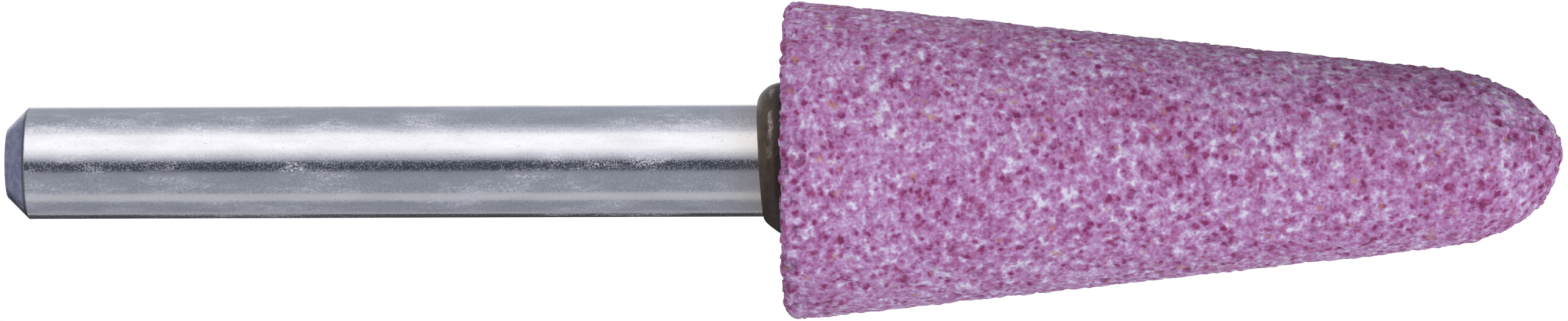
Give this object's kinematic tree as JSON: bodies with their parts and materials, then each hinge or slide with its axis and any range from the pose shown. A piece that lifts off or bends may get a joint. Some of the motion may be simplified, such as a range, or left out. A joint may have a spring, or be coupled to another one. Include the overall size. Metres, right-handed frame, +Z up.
{
  "type": "mounted point",
  "caption": "Tapered, round-nosed vitrified abrasive head cemented on a straight steel shank with a chamfered end, held in a grinder's collet.",
  "frame": {"origin": "centre of the flat face on the shank's free end", "axes": "+X along the axis from the shank's free end to the nose of the head, +Z up"},
  "size_m": [0.0833, 0.017, 0.017],
  "materials": {
    "steel": "centreless ground",
    "abrasive": "rough, porous vitrified grain",
    "cement": "hardened adhesive bead"
  },
  "bodies": {
    "root": {"shank": "steel", "abrasive_head": "abrasive", "cement": "cement"}
  },
  "joints": []
}
